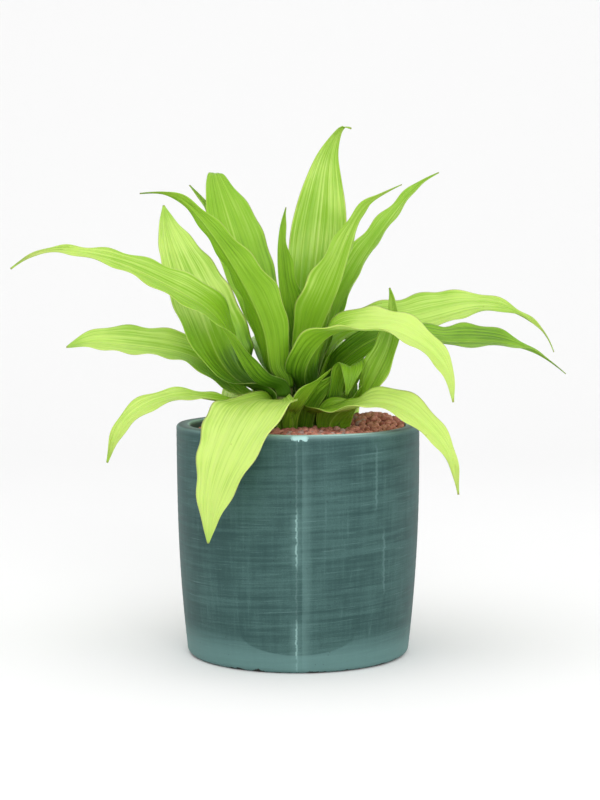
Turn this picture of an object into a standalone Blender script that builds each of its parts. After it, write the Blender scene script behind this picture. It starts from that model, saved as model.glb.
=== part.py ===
"""Potted dracaena with broad lime leaves in a nearly straight glazed pot, filled with clay granules.

Lengths are millimetres in the tables and become metres where a mesh is made.
The origin is the centre of the pot's flat underside, +Z is up and the photographed side faces -Y.
"""
import math
from collections import namedtuple

import bmesh
import bpy
import numpy as np
from mathutils import Vector
from mathutils.geometry import delaunay_2d_cdt

MM = 0.001

# Pot, turned about the Z axis.
POT_HEIGHT = 170.6
RIM_RADIUS = 90.0
WALL = 10.4
FLOOR = 12.0
TAPER = 8.0            # how much the radius shrinks from rim to foot
TAPER_POWER = 2.6      # keeps the taper for the lower part
LIP_ROUND = 2.6
FOOT_ROUND = 5.0
INNER_FOOT = 8.0       # slope between the inner wall and the floor, as wide as it is high
INNER_HEIGHTS = (60.0, 110.0)
OUTER_HEIGHTS = (130.0, 100.0, 75.0, 52.0, 33.0, 18.0)
POT_STEPS = 48

# Clay granules.
FIT_GAP = 0.4
GRANULE_LEVEL = 166.5
EDGE_DROP = 2.0        # how far below the level the granules meet the wall
GRANULE_SIZE = 9.0     # spacing of the relief, about twice a real granule
GRANULE_REACH = (0.53, 0.74)  # radius of one, as shares of the spacing
GRANULE_SCATTER = 0.22
GRANULE_RISE = 2.6
LATTICE = 3.9          # spacing of the mesh points on top
MOUND_CENTRE = (55.0, 12.0)
MOUND_RISE = 10.0
MOUND_REACH = 18.0
LEFT_DIP = 3.0
DIP_START = 40.0
DIP_RUN = 30.0
SEED = 11

# Canes, the short woody stems that carry the leaves.
CANE_RADIUS = 6.0
CANE_SEAT = 22.0       # how deep a cane goes into the granules
CANES = {
    # name: (x, y, height of the growing tip above the level)
    "left": (-10.0, -4.0, 44.0),
    "middle": (6.0, 10.0, 50.0),
    "right": (27.0, -4.0, 26.0),
}
# Growing tip: (share of the cane radius, depth below the crest).
CANE_TIP = ((0.0, 0.0), (0.45, 1.5), (0.8, 5.0), (1.0, 11.0))
HOLE_TOP = 20.0        # how far a hole's cutter stands above the granules
CANE_SIDES = 16

# Leaves.
BLADE_THICKNESS = 0.8
SEAT_OFFSET = 0.9      # blade centre to cane side
BASE_HALF_WIDTH = 6.5  # of the sheath that clasps the cane
TIP_HALF_WIDTH = 0.8
SHEATH_RADIUS = 8.2    # of the blade's section at its base, a little wider than the cane
BLADE_RADIUS = 60.0    # shallow channel across the open blade
SHEATH_SHARE = 0.22    # part of the length over which the base opens
LIFT_OUT = 2.2         # the midrib's second point, from its base away from the cane
LIFT_UP = 6.0          # and upwards
SWING_SHARE = 0.6      # part of the length over which the face turns
ROLL_START = 0.08
ROLL_MIDDLE = 0.4
FOLD_SHARE = 0.15
WAVE_HEIGHT = 1.3      # of the waved edges
WAVE_LENGTH = 29.0
EDGE_SHIFT = 1.9       # radians by which one edge's waves lag behind the other's
PHASE_STEP = 1.7       # radians between one leaf's waves and the next one's
SEGMENT = 11.5         # length of one row of triangles
ACROSS = 4

Leaf = namedtuple("Leaf", "cane up heading swing width lean peak taper roll fold slot path")
# cane: the cane it grows from. up: height of its base above the granule level.
# heading: compass angle of the base, 0 = +X and 90 = +Y. swing: how far the face turns on the way.
# width: widest place. lean: share by which the right half is wider and the left one narrower.
# peak: share of the length where it is widest. taper: shoulder and tail powers.
# roll: twist at mid length and at the tip. fold: angle of each half from flat, at base and tip.
# path: points the midrib passes through after the base, the last one is the tip.
LEAVES = {
    "far_left": Leaf("left", 25, 222, -18, 34, 0, 0.34, (1.7, 1.7), (-52, -34), (10, 5), "leaf_green", (
        (-31, -19, 204), (-56, -30, 247), (-87, -38, 271), (-119, -44, 287), (-151, -50, 297),
        (-183, -53, 298), (-204, -54, 286))),
    "left_broad": Leaf("left", 17, 145, -30, 52, 0.06, 0.34, (2.4, 1.1), (-6, -6), (14, 7), "leaf_deep", (
        (-46, -1, 204), (-68, 8, 240), (-85, 30, 280), (-98, 50, 313), (-103, 62, 332))),
    "left_over": Leaf("left", 31, -118, -14, 40, 0, 0.4, (1.3, 1.8), (0, 30), (16, 8), "leaf_green", (
        (-19, -15, 211), (-23, -24, 236), (-45, -44, 287), (-74, -60, 328), (-91, -64, 339),
        (-111, -66, 339))),
    "upper_left": Leaf("left", 34, 105, 0, 40, 0.06, 0.5, (2.6, 4.2), (0, 0), (10, -40), "leaf_green", (
        (-22, 15, 235), (-41, 38, 287), (-57, 59, 335), (-64, 74, 357), (-62, 92, 351),
        (-57, 104, 331))),
    "upper_left_back": Leaf("middle", 20, 132, 0, 28, 0, 0.5, (1.6, 1.3), (0, 0), (14, 7), "leaf_green", (
        (-24, 42, 238), (-63, 80, 319), (-85, 98, 348))),
    "young": Leaf("middle", 42, 214, -14, 27, -0.15, 0.42, (1.6, 1.2), (0, 0), (36, 20), "leaf_green", (
        (-8, 4, 239), (-14, -1, 299), (-9, 0, 330))),
    "crown": Leaf("middle", 41, 92, -2, 42, 0, 0.5, (1.9, 1.6), (0, 0), (8, 4), "leaf_pale", (
        (9, 22, 254), (14, 28, 298), (18, 34, 336), (22, 38, 366), (28, 38, 382), (34, 36, 390),
        (40, 34, 389))),
    "crown_front": Leaf("middle", 29, -35, 0, 48, 0, 0.42, (1.5, 1.8), (0, 0), (25, 12), "leaf_green", (
        (13, -1, 229), (28, -12, 269), (44, -22, 321), (57, -26, 337), (75, -26, 346))),
    "upper_right": Leaf("middle", 24, 40, -22, 30, 0, 0.5, (1.6, 1.3), (14, 20), (25, 12), "leaf_green", (
        (27, 27, 242), (50, 42, 290), (79, 58, 332), (93, 64, 348), (108, 66, 357))),
    "right_upright": Leaf("right", 8, -14, 0, 26, 0, 0.5, (1.6, 1.2), (55, 60), (12, 6), "leaf_green", (
        (44, -17, 187), (57, -29, 209), (66, -37, 231), (69, -37, 256), (66, -35, 272))),
    "front_right": Leaf("middle", 21, -81, 51, 42, 0, 0.5, (1.6, 1.2), (18, 20), (16, 4), "leaf_pale", (
        (5, -23, 212), (24, -38, 239), (48, -50, 243), (65, -58, 243), (79, -62, 238),
        (93, -65, 229), (105, -66, 214), (110, -66, 192))),
    "right_high": Leaf("middle", 15, 25, -15, 50, 0, 0.55, (1.3, 2.3), (26, 30), (10, 5), "leaf_pale", (
        (22, 21, 218), (31, 32, 231), (50, 32, 240), (84, 33, 243), (110, 31, 249), (132, 27, 255),
        (154, 21, 255), (171, 15, 248), (183, 10, 238), (190, 6, 223))),
    "right_long": Leaf("middle", 11, 24, 13, 37, 0, 0.65, (3.0, 3.8), (23, 22), (6, 7), "leaf_deep", (
        (27, 14, 209), (38, 3, 221), (64, -7, 236), (105, -16, 233), (141, -18, 232),
        (170, -17, 226), (183, -20, 219), (195, -24, 209))),
    "low_right": Leaf("middle", 4, -75, 40, 31, 0, 0.5, (1.6, 1.4), (22, 20), (10, 5), "leaf_pale", (
        (14, -14, 181), (21, -27, 183), (35, -43, 185), (53, -55, 191), (75, -66, 187),
        (91, -72, 175), (103, -78, 162), (110, -80, 146), (113, -80, 128))),
    "front_drop": Leaf("left", 13, -125, 0, 68, 0, 0.42, (1.6, 1.1), (0, 0), (-12, 0), "leaf_pale", (
        (-21, -30, 191), (-34, -74, 186), (-53, -104, 148), (-60, -108, 120), (-62, -109, 98))),
    "low_left": Leaf("left", 4, 200, 0, 21, 0, 0.6, (1.6, 1.2), (-14, -40), (6, 3), "leaf_pale", (
        (-39, -20, 187), (-60, -30, 191), (-78, -36, 194), (-96, -41, 192), (-115, -46, 184),
        (-129, -49, 169), (-137, -50, 147))),
    "left_mid": Leaf("left", 10, 163, 0, 37, 0, 0.6, (2.6, 0.9), (-26, -32), (8, 4), "leaf_pale", (
        (-43, 12, 191), (-66, 20, 211), (-85, 24, 221), (-111, 24, 226), (-137, 22, 229),
        (-156, 18, 230), (-173, 14, 226))),
    "small_front": Leaf("left", 5, -40, -10, 25, -0.2, 0.45, (1.6, 1.3), (10, 15), (15, 7), "leaf_green", (
        (0, -22, 183), (12, -34, 201), (24, -42, 214))),
    "small_fold": Leaf("right", 17, -60, 0, 20, 0, 0.5, (1.6, 1.2), (0, 0), (12, 6), "leaf_green", (
        (32, -14, 198), (37, -24, 214), (38, -31, 214), (37, -35, 204), (35, -36, 194))),
    "back_left": Leaf("middle", 8, 150, 0, 36, 0, 0.5, (1.6, 1.3), (0, 0), (12, 6), "leaf_green", (
        (-17, 28, 201), (-32, 60, 225), (-44, 100, 223), (-53, 135, 200), (-51, 150, 173))),
    "back": Leaf("middle", 34, 126, -26, 32, 0, 0.5, (1.6, 1.3), (0, 0), (12, 6), "leaf_green", (
        (-3, 38, 238), (2, 66, 280), (6, 102, 282), (6, 138, 240), (5, 158, 195))),
    "back_right": Leaf("right", 13, 92, 0, 32, 0, 0.5, (1.6, 1.3), (0, 0), (12, 6), "leaf_green", (
        (33, 28, 198), (37, 60, 221), (40, 100, 223), (39, 130, 204), (36, 142, 178))),
    "back_low_left": Leaf("left", 6, 97, 0, 34, 0, 0.5, (1.6, 1.2), (0, 0), (10, 5), "leaf_pale", (
        (-25, 30, 181), (-35, 60, 186), (-44, 95, 178), (-48, 125, 144), (-48, 130, 111))),
    "back_low_right": Leaf("right", 9, 96, 0, 34, 0, 0.5, (1.6, 1.2), (0, 0), (10, 5), "leaf_pale", (
        (29, 25, 182), (31, 60, 185), (33, 95, 175), (35, 125, 144), (36, 130, 103))),
}


def smooth(t):
    """Ease from 0 to 1 as t goes from 0 to 1."""
    t = np.clip(t, 0.0, 1.0)
    return t * t * (3.0 - 2.0 * t)


def curve_through(points, count=400):
    """Natural cubic spline through the points, sampled finely, with its running length."""
    p = np.array(points, float)
    steps = np.linalg.norm(np.diff(p, axis=0), axis=1) ** 0.5
    knots = np.concatenate([[0.0], np.cumsum(steps)])
    last = len(p) - 1
    matrix = np.eye(last + 1)
    target = np.zeros((last + 1, 3))
    for i in range(1, last):
        before, after = steps[i - 1], steps[i]
        matrix[i, i - 1:i + 2] = before, 2.0 * (before + after), after
        target[i] = 6.0 * ((p[i + 1] - p[i]) / after - (p[i] - p[i - 1]) / before)
    bend = np.linalg.solve(matrix, target)
    u = np.linspace(0.0, knots[-1], count)
    i = np.clip(np.searchsorted(knots, u, side="right") - 1, 0, last - 1)
    gap = steps[i][:, None]
    to_end = (knots[i + 1] - u)[:, None]
    from_start = (u - knots[i])[:, None]
    curve = bend[i] * to_end ** 3 / (6.0 * gap) + bend[i + 1] * from_start ** 3 / (6.0 * gap)
    curve += (p[i] / gap - bend[i] * gap / 6.0) * to_end
    curve += (p[i + 1] / gap - bend[i + 1] * gap / 6.0) * from_start
    length = np.concatenate([[0.0], np.cumsum(np.linalg.norm(np.diff(curve, axis=0), axis=1))])
    return curve, length


def leaf_frame(leaf, s):
    """Midrib points, right-hand and face directions at the shares s, and the leaf's length."""
    angle = math.radians(leaf.heading)
    out = np.array([math.cos(angle), math.sin(angle), 0.0])
    cane = CANES[leaf.cane]
    base = np.array([cane[0], cane[1], GRANULE_LEVEL + leaf.up]) + out * (CANE_RADIUS + SEAT_OFFSET)
    lifted = base + out * LIFT_OUT + np.array([0.0, 0.0, LIFT_UP])
    curve, length = curve_through([base, lifted] + list(leaf.path))
    along = np.gradient(curve, axis=0)
    at = s * length[-1]
    middle = np.stack([np.interp(at, length, curve[:, k]) for k in range(3)], -1)
    ahead = np.stack([np.interp(at, length, along[:, k]) for k in range(3)], -1)
    ahead /= np.linalg.norm(ahead, axis=1)[:, None]
    facing = np.radians(leaf.heading + leaf.swing * smooth(s / SWING_SHARE))
    side = np.stack([np.sin(facing), -np.cos(facing), 0.0 * facing], -1)
    side -= ahead * np.sum(side * ahead, axis=1)[:, None]
    side /= np.linalg.norm(side, axis=1)[:, None]
    face = np.cross(side, ahead)
    mid_roll, tip_roll = leaf.roll
    early = smooth((s - ROLL_START) / (ROLL_MIDDLE - ROLL_START))
    late = smooth((s - ROLL_MIDDLE) / (1.0 - ROLL_MIDDLE))
    roll = np.radians(mid_roll * early + (tip_roll - mid_roll) * late)
    c, d = np.cos(roll)[:, None], np.sin(roll)[:, None]
    return middle, side * c - face * d, face * c + side * d, length[-1]


def leaf_half_width(leaf, s):
    """Half the mean width: narrow sheath, widest at the peak, drawn out towards the tip."""
    rise = np.sin(np.pi / 2 * np.clip(s / leaf.peak, 0.0, 1.0)) ** 1.5
    past = np.clip((s - leaf.peak) / (1.0 - leaf.peak), 0.0, 1.0)
    shoulder, tail = leaf.taper
    width = BASE_HALF_WIDTH + (leaf.width / 2 - BASE_HALF_WIDTH) * rise
    return width * (1.0 - past ** shoulder) ** tail + TIP_HALF_WIDTH


def leaf_surface(leaf, phase, s, v):
    """Points of the blade for shares s along it and v from -1 to 1 across it."""
    middle, side, face, length = leaf_frame(leaf, s)
    opened = smooth(s / SHEATH_SHARE)
    bend = (1.0 - opened) / SHEATH_RADIUS + opened / BLADE_RADIUS
    reach = leaf_half_width(leaf, s)[:, None] * v[None, :]
    reach = reach * (1.0 + leaf.lean * np.sign(v) * smooth(s / SHEATH_SHARE)[:, None])
    bend = bend[:, None]
    across = np.sin(bend * reach) / bend
    lift = (1.0 - np.cos(bend * reach)) / bend
    base_fold, tip_fold = leaf.fold
    fold = base_fold + (tip_fold - base_fold) * s ** 3
    fold = (np.radians(fold) * smooth(s / FOLD_SHARE))[:, None]
    lift = lift + np.abs(reach) * np.sin(fold)
    across = across * np.cos(fold)
    calm = (smooth((s - 0.1) / 0.25) * smooth((1.0 - s) / 0.2))[:, None]
    turn = 2.0 * np.pi * length * s[:, None] / WAVE_LENGTH + phase + np.where(v > 0, EDGE_SHIFT, 0.0)
    lift = lift + WAVE_HEIGHT * calm * np.abs(v) ** 3 * np.sin(turn)
    return middle[:, None, :] + across[..., None] * side[:, None, :] + lift[..., None] * face[:, None, :]


def make_collection(name):
    """A new collection linked to the scene."""
    collection = bpy.data.collections.new(name)
    bpy.context.scene.collection.children.link(collection)
    return collection


def make_material(name, colour, roughness):
    """A Principled material of one colour."""
    material = bpy.data.materials.new(name)
    material.use_nodes = True
    shader = material.node_tree.nodes["Principled BSDF"]
    shader.inputs["Base Color"].default_value = (*colour, 1.0)
    shader.inputs["Roughness"].default_value = roughness
    return material


def add_object(name, mesh, collection, material=None):
    """Wrap the mesh in an object, put it in the collection and give it its material."""
    piece = bpy.data.objects.new(name, mesh)
    collection.objects.link(piece)
    if material:
        mesh.materials.append(material)
    return piece


def pot_radius(z):
    """Outer radius of the pot at height z: straight above, drawn in towards the foot."""
    return RIM_RADIUS - TAPER * (1.0 - z / POT_HEIGHT) ** TAPER_POWER


def rounded_corner(centre, radius, start, end, count):
    """Points of an arc about centre from the start angle to the end angle, in degrees."""
    angles = np.radians(np.linspace(start, end, count))
    return [(centre[0] + radius * math.cos(a), centre[1] + radius * math.sin(a)) for a in angles]


def pot_profile():
    """Radius and height of the pot's section, from inner floor up, over the rim and down outside."""
    inner_top = RIM_RADIUS - WALL
    inner_foot = pot_radius(FLOOR) - WALL
    foot_edge = pot_radius(FOOT_ROUND)
    profile = [(0.0, FLOOR), (inner_foot - INNER_FOOT, FLOOR), (inner_foot, FLOOR + INNER_FOOT)]
    profile += [(pot_radius(z) - WALL, z) for z in INNER_HEIGHTS]
    top = POT_HEIGHT - LIP_ROUND
    profile += rounded_corner((inner_top + LIP_ROUND, top), LIP_ROUND, 180, 90, 4)
    profile += rounded_corner((RIM_RADIUS - LIP_ROUND, top), LIP_ROUND, 90, 0, 4)
    profile += [(pot_radius(z), z) for z in OUTER_HEIGHTS]
    profile += rounded_corner((foot_edge - FOOT_ROUND, FOOT_ROUND), FOOT_ROUND, 0, -90, 5)
    profile.append((0.0, 0.0))
    return profile


def turned(name, profile, steps, collection, material=None):
    """A body turned about Z from a profile that runs down its outer side, with a Screw modifier."""
    mesh = bpy.data.meshes.new(name)
    points = [(r * MM, 0.0, z * MM) for r, z in profile]
    mesh.from_pydata(points, [(i, i + 1) for i in range(len(points) - 1)], [])
    body = add_object(name, mesh, collection, material)
    turn = body.modifiers.new("turn", "SCREW")
    turn.steps = steps
    turn.render_steps = steps
    turn.use_merge_vertices = True
    turn.merge_threshold = 0.00005
    return body


def granule_height(x, y):
    """Height of the granule surface: level, the heap on the right and the dip on the left."""
    far = ((x - MOUND_CENTRE[0]) ** 2 + (y - MOUND_CENTRE[1]) ** 2) / (2.0 * MOUND_REACH ** 2)
    return GRANULE_LEVEL + MOUND_RISE * np.exp(-far) - LEFT_DIP * smooth((-x - DIP_START) / DIP_RUN)


def hexagon_lattice(pitch, radius):
    """Points of a triangular lattice inside a circle."""
    rows = int(radius / (pitch * 0.866)) + 1
    columns = int(radius / pitch) + 1
    i, j = np.meshgrid(np.arange(-columns, columns + 1), np.arange(-rows, rows + 1))
    x = (i + 0.5 * (j % 2)) * pitch
    y = j * pitch * math.sqrt(0.75)
    keep = x ** 2 + y ** 2 < radius ** 2
    return np.stack([x[keep], y[keep]], -1)


def granule_relief(points, radius):
    """Rounded tops of granules, larger than life, scattered evenly from the seed."""
    scatter = np.random.default_rng(SEED)
    centres = hexagon_lattice(GRANULE_SIZE, radius)
    shift = scatter.uniform(-GRANULE_SCATTER, GRANULE_SCATTER, centres.shape)
    centres = centres + shift * GRANULE_SIZE
    size = scatter.uniform(*GRANULE_REACH, len(centres)) * GRANULE_SIZE
    gap = np.linalg.norm(points[:, None, :] - centres[None, :, :], axis=2) / size[None, :]
    return GRANULE_RISE * np.sqrt(np.clip(1.0 - gap.min(axis=1) ** 2, 0.0, 1.0))


def build_granules(pot_collection, cutter_collection, material):
    """The filling of clay granules: level with relief on top, sides along the pot's inner wall."""
    inner = RIM_RADIUS - WALL - FIT_GAP
    shell = bmesh.new()
    turn = np.linspace(0.0, 2.0 * np.pi, POT_STEPS, endpoint=False)
    rings = [(inner, GRANULE_LEVEL - EDGE_DROP)]
    rings += [(pot_radius(z) - WALL - FIT_GAP, z) for z in reversed(INNER_HEIGHTS)]
    floor_edge = pot_radius(FLOOR) - WALL - FIT_GAP
    rings += [(floor_edge, FLOOR + INNER_FOOT), (floor_edge - INNER_FOOT, FLOOR + FIT_GAP)]
    loops = []
    for radius, z in rings:
        corners = [(radius * math.cos(a) * MM, radius * math.sin(a) * MM, z * MM) for a in turn]
        loops.append([shell.verts.new(corner) for corner in corners])
    for upper, lower in zip(loops, loops[1:]):
        for k in range(POT_STEPS):
            after = (k + 1) % POT_STEPS
            shell.faces.new((upper[k], lower[k], lower[after], upper[after]))
    shell.faces.new(list(reversed(loops[-1])))
    inside = hexagon_lattice(LATTICE, inner - 0.6 * LATTICE)
    rim = np.stack([inner * np.cos(turn), inner * np.sin(turn)], -1)
    flat = [Vector(point) for point in np.concatenate([rim, inside])]
    border = [(k, (k + 1) % POT_STEPS) for k in range(POT_STEPS)]
    faces = delaunay_2d_cdt(flat, border, [], 0, 0.0001)[2]
    height = granule_height(inside[:, 0], inside[:, 1]) + granule_relief(inside, inner)
    top = list(loops[0])
    for (x, y), z in zip(inside, height):
        top.append(shell.verts.new((x * MM, y * MM, z * MM)))
    for face in faces:
        shell.faces.new([top[k] for k in face])
    bmesh.ops.recalc_face_normals(shell, faces=shell.faces)
    mesh = bpy.data.meshes.new("granules")
    shell.to_mesh(mesh)
    shell.free()
    granules = add_object("granules", mesh, pot_collection, material)
    for name, (x, y, _) in CANES.items():
        wide = CANE_RADIUS + FIT_GAP
        above = GRANULE_LEVEL + HOLE_TOP
        below = GRANULE_LEVEL - CANE_SEAT - FIT_GAP
        profile = [(0.0, above), (wide, above), (wide, below), (0.0, below)]
        hole = turned("hole_" + name, profile, CANE_SIDES, cutter_collection)
        hole.location = (x * MM, y * MM, 0.0)
        hole.hide_render = True
        hole.display_type = "WIRE"
        drill = granules.modifiers.new("hole " + name, "BOOLEAN")
        drill.operation = "DIFFERENCE"
        drill.solver = "EXACT"
        drill.object = hole
    return granules


def build_cane(name, collection, material):
    """A short cane with a rounded growing tip, standing in its hole."""
    x, y, top = CANES[name]
    foot = GRANULE_LEVEL - CANE_SEAT
    crest = GRANULE_LEVEL + top
    profile = [(share * CANE_RADIUS, crest - depth) for share, depth in CANE_TIP]
    profile += [(CANE_RADIUS, foot), (0.0, foot)]
    cane = turned("cane_" + name, profile, CANE_SIDES, collection, material)
    cane.location = (x * MM, y * MM, 0.0)
    return cane


def build_leaf(name, phase, collection, material):
    """A leaf: a grid laid on the waved surface, split into triangles, then thickened evenly."""
    leaf = LEAVES[name]
    length = leaf_frame(leaf, np.array([0.0, 1.0]))[3]
    along = max(8, round(length / SEGMENT))
    grid = bmesh.new()
    bmesh.ops.create_grid(grid, x_segments=along, y_segments=ACROSS, size=1.0)
    s = np.linspace(0.0, 1.0, along + 1)
    v = np.linspace(-1.0, 1.0, ACROSS + 1)
    surface = leaf_surface(leaf, phase, s, v) * MM
    for vertex in grid.verts:
        i = round((vertex.co.x + 1.0) / 2.0 * along)
        j = round((vertex.co.y + 1.0) / 2.0 * ACROSS)
        vertex.co = surface[i, ACROSS - j]
    bmesh.ops.recalc_face_normals(grid, faces=grid.faces)
    mesh = bpy.data.meshes.new("leaf_" + name)
    grid.to_mesh(mesh)
    grid.free()
    blade = add_object("leaf_" + name, mesh, collection, material)
    split = blade.modifiers.new("split", "TRIANGULATE")
    split.quad_method = "FIXED"
    thick = blade.modifiers.new("thickness", "SOLIDIFY")
    thick.thickness = BLADE_THICKNESS * MM
    thick.offset = 0.0
    return blade


for old in list(bpy.data.objects):
    bpy.data.objects.remove(old, do_unlink=True)

plant_collection = make_collection("potted_dracaena")
cutters = make_collection("cutters")
glaze = make_material("pot_glaze", (0.085, 0.160, 0.155), 0.35)
clay = make_material("granules", (0.35, 0.12, 0.08), 0.9)
bark = make_material("cane", (0.22, 0.24, 0.08), 0.7)
blades = {
    "leaf_green": make_material("leaf_green", (0.27, 0.49, 0.05), 0.42),
    "leaf_pale": make_material("leaf_pale", (0.50, 0.70, 0.13), 0.42),
    "leaf_deep": make_material("leaf_deep", (0.16, 0.36, 0.02), 0.42),
}

turned("pot", pot_profile(), POT_STEPS, plant_collection, glaze)
build_granules(plant_collection, cutters, clay)
for cane_name in CANES:
    build_cane(cane_name, plant_collection, bark)
for number, (leaf_name, row) in enumerate(LEAVES.items()):
    build_leaf(leaf_name, PHASE_STEP * number, plant_collection, blades[row.slot])
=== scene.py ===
# %% [markdown]
# # Potted dracaena
# A young dracaena with broad lime-green leaves stands in a nearly straight glazed pot that is
# filled with fired clay granules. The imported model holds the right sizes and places. Here each of
# its solids gets a finely shaped piece in its place, so that leaf pleats, glaze and granules show.
#
# The lesson goes from the frame to the camera, then the pot, the granules, the canes, the leaves
# and the light. Every shape is a surface worked out with numpy: points on a grid of two
# parameters, joined by quads.

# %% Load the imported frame
import math
from collections import namedtuple

import bpy
import numpy as np
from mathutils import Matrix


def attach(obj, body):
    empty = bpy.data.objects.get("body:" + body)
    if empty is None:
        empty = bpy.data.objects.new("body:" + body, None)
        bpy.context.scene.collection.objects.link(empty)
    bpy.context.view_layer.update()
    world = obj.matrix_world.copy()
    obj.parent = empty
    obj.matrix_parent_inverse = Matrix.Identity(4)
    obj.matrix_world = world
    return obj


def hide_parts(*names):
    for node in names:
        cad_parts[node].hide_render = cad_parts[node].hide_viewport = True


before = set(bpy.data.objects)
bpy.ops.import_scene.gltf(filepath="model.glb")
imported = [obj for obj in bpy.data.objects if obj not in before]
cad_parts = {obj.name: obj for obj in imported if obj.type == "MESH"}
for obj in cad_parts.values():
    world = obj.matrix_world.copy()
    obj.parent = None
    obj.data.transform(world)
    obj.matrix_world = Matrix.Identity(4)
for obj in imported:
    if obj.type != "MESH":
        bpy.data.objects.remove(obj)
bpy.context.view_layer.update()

MM = 0.001
print("nodes in the frame:", len(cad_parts))

# %% [markdown]
# ## Camera
# The photograph was taken from pot height or a little more, from far away, with a long lens: the
# rim is a thin ellipse and both sides of the pot look almost parallel. A 90 mm lens a metre and a
# half away, looking down by five degrees, gives the same ellipses for the rim and the foot.

# %% Camera
CAMERA_PLACE = (0.0015, -1.476, 0.318)
CAMERA_DOWN = 5.04        # degrees below the horizon
CAMERA_LENS = 89.96       # mm, for a 36 mm tall film

camera_data = bpy.data.cameras.new("camera")
camera_data.lens = CAMERA_LENS
camera_data.sensor_fit = "VERTICAL"
camera_data.sensor_height = 36.0
camera = bpy.data.objects.new("camera", camera_data)
camera.location = CAMERA_PLACE
camera.rotation_euler = (math.radians(90.0 - CAMERA_DOWN), 0.0, 0.0)
bpy.context.scene.collection.objects.link(camera)
bpy.context.scene.camera = camera
bpy.context.scene.view_settings.view_transform = "Standard"
print("camera at", CAMERA_PLACE)

# %% [markdown]
# ## Surfaces from grids
# A grid of points becomes a closed skin in three steps: quads between neighbours, the last column
# joined to the first, and a fan of triangles over the first and last row. The columns run
# anticlockwise as seen from the end of the rows, so all faces look outwards.

# %% Grid helpers
def grid_faces(rows, columns):
    """Quads between the points of a grid whose last column is joined to its first."""
    i = np.arange(rows - 1)[:, None] * columns
    j = np.arange(columns)[None, :]
    after = (j + 1) % columns
    return np.stack([i + j, i + after, i + columns + after, i + columns + j], -1).reshape(-1, 4)


def end_fans(rows, columns):
    """Triangles from each end row to an extra point, numbered after the grid's own points."""
    j = np.arange(columns)
    after = (j + 1) % columns
    last = (rows - 1) * columns
    first_tip = np.full(columns, rows * columns)
    start = np.stack([after, j, first_tip], -1)
    end = np.stack([last + j, last + after, first_tip + 1], -1)
    return np.concatenate([start, end])


def make_piece(name, points, faces, material, attributes=None):
    """A smooth mesh object at the origin, with one float attribute per name and row of values."""
    mesh = bpy.data.meshes.new(name)
    mesh.from_pydata(points.reshape(-1, 3) * MM, [], [face for part in faces for face in part.tolist()])
    mesh.polygons.foreach_set("use_smooth", np.ones(len(mesh.polygons), bool))
    for key, values in (attributes or {}).items():
        layer = mesh.attributes.new(key, "FLOAT", "POINT")
        layer.data.foreach_set("value", np.ravel(values).astype(np.float32))
    mesh.materials.append(material)
    piece = bpy.data.objects.new(name, mesh)
    bpy.context.scene.collection.objects.link(piece)
    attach(piece, "root")
    return piece


def closed_piece(name, grid, material, attributes=None):
    """A piece from a grid of rings; the middle of the first and last ring closes each end."""
    rows, columns = grid.shape[:2]
    ends = np.stack([grid[0].mean(axis=0), grid[-1].mean(axis=0)])
    points = np.concatenate([grid.reshape(-1, 3), ends])
    padded = {}
    for key, values in (attributes or {}).items():
        values = np.broadcast_to(values, (rows, columns))
        padded[key] = np.concatenate([values.ravel(), [values[0].mean(), values[-1].mean()]])
    faces = [grid_faces(rows, columns), end_fans(rows, columns)]
    return make_piece(name, points, faces, material, padded)


def smooth(t):
    """Ease from 0 to 1 as t goes from 0 to 1."""
    t = np.clip(t, 0.0, 1.0)
    return t * t * (3.0 - 2.0 * t)


# %% [markdown]
# ## Writing a material in code
# A material is a small graph: coordinates go into noise, noise goes into colours. The class below
# adds a node and hands back its output, so that a recipe reads like a list of sums.

# %% Material helper
class Finish:
    """A material under construction; each method adds one node and returns its output."""

    def __init__(self, name):
        self.material = bpy.data.materials.new(name)
        self.material.use_nodes = True
        self.tree = self.material.node_tree
        self.shader = self.tree.nodes["Principled BSDF"]

    def feed(self, socket, value):
        """Link an output to a socket, or set the socket's own value."""
        if isinstance(value, bpy.types.NodeSocket):
            self.tree.links.new(value, socket)
        else:
            socket.default_value = value

    def add(self, kind, inputs, output=0, **settings):
        node = self.tree.nodes.new("ShaderNode" + kind)
        for key, value in settings.items():
            setattr(node, key, value)
        for key, value in inputs.items():
            self.feed(node.inputs[key], value)
        return node.outputs[output]

    def set(self, **sockets):
        """Fill the shader's sockets; base_color means Base Color."""
        for key, value in sockets.items():
            self.feed(self.shader.inputs[key.replace("_", " ").title().replace("Ior", "IOR")], value)

    def math(self, operation, a, b=0.0, clamp=False):
        return self.add("Math", {0: a, 1: b}, operation=operation, use_clamp=clamp)

    def object_place(self):
        """The point's place in metres, as x, y, z outputs and as one vector."""
        place = self.add("TexCoord", {}, output=3)
        split = self.tree.nodes.new("ShaderNodeSeparateXYZ")
        self.feed(split.inputs[0], place)
        return split.outputs[0], split.outputs[1], split.outputs[2], place

    def attribute(self, name):
        return self.add("Attribute", {}, output=2, attribute_name=name)

    def stretched(self, vector, scale):
        """The vector with each of its parts multiplied by its own scale."""
        return self.add("VectorMath", {0: vector, 1: scale}, operation="MULTIPLY")

    def noise(self, vector, scale, detail=2.0, rough=0.5):
        return self.add("TexNoise", {"Vector": vector, "Scale": scale, "Detail": detail, "Roughness": rough})

    def ramp(self, value, low, high, start=0.0, end=1.0):
        """A smooth step: start below low, end above high."""
        inputs = {"Value": value, "From Min": low, "From Max": high, "To Min": start, "To Max": end}
        return self.add("MapRange", inputs, interpolation_type="SMOOTHSTEP")

    def blend(self, share, a, b, how="MIX"):
        return self.add("Mix", {0: share, 6: a, 7: b}, output=2, data_type="RGBA", blend_type=how)

    def bump(self, height, distance, strength=1.0):
        return self.add("Bump", {"Height": height, "Distance": distance, "Strength": strength})


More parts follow.
